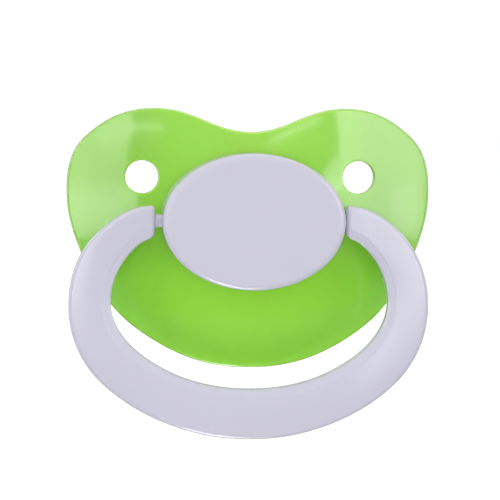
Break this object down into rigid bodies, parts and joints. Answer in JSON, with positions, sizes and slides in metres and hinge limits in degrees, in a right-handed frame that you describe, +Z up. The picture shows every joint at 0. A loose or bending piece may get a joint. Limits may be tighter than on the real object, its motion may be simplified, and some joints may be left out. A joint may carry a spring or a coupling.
{
  "type": "pacifier",
  "caption": "Pacifier with a curved heart-shaped shield, round vents, oval button, hollow teat and a C-shaped ring handle that swings on pins in the button.",
  "frame": {"origin": "middle of the shield's back face, on the axis of the teat", "axes": "+Y along the teat into the mouth, +Z up towards the notch in the top of the shield, +X across the shield to the right as seen from the button side"},
  "size_m": [0.069, 0.046, 0.0614],
  "materials": {
    "shield": "glossy, slightly translucent green",
    "teat": "soft translucent silicone, satin",
    "plug": "plain moulded plastic",
    "button": "gloss, pale lavender white",
    "ring": "gloss, pale lavender white"
  },
  "bodies": {
    "body": {"shield": "shield", "nipple": "teat", "nipple_plug": "plug", "button_base": "button", "button_cap": "button"},
    "ring": {"ring_handle": "ring"}
  },
  "joints": [
    {"name": "ring_swing", "type": "hinge", "parent": "body", "child": "ring", "pos_m": [0, -0.0052, 0], "axis": [-1, 0, 0], "range_deg": [-14, 199]}
  ]
}
